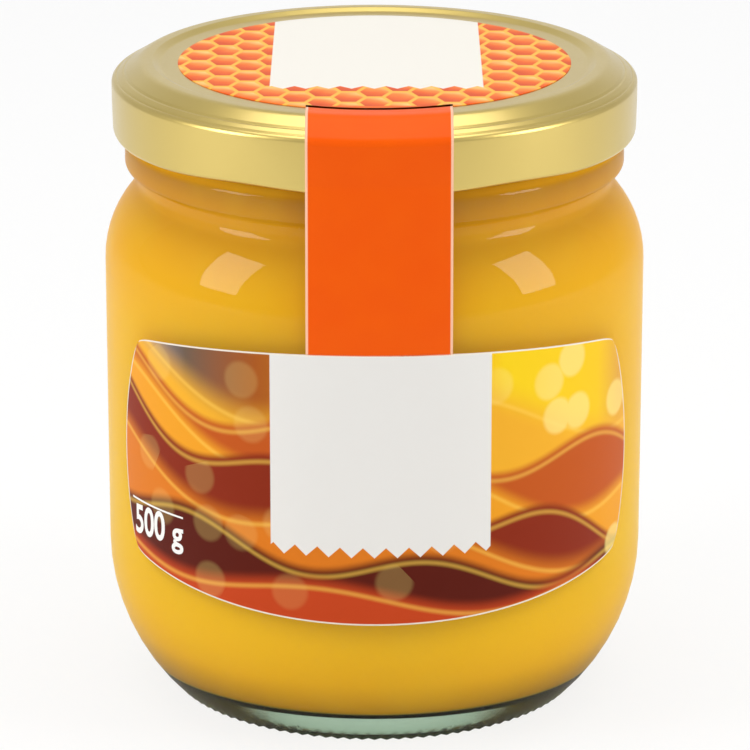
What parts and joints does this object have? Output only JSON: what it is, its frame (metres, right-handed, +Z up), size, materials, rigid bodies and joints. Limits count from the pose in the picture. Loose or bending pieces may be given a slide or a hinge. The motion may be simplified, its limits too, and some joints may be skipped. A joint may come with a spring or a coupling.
{
  "type": "honey jar",
  "caption": "Round glass jar of creamed honey with a twist-off metal lid, a paper seal from the lid down the front and a curved paper label",
  "frame": {"origin": "on the jar's axis, on the plane that it stands on", "axes": "+Z up along the jar's axis, -Y the front with the label and the seal, +X to the right seen from the front"},
  "size_m": [0.0826, 0.0828, 0.0989],
  "materials": {
    "clear_glass": "clear soda-lime glass with a faint green edge",
    "creamed_honey": "opaque golden creamed honey",
    "gold_lacquer": "satin pale gold lacquer on tinplate",
    "seal_paper": "coated orange paper",
    "label_paper": "coated printed paper"
  },
  "bodies": {
    "root": {"glass_jar": "clear_glass", "honey": "creamed_honey", "lid": "gold_lacquer", "top_seal": "seal_paper", "front_label": "label_paper"}
  },
  "joints": []
}
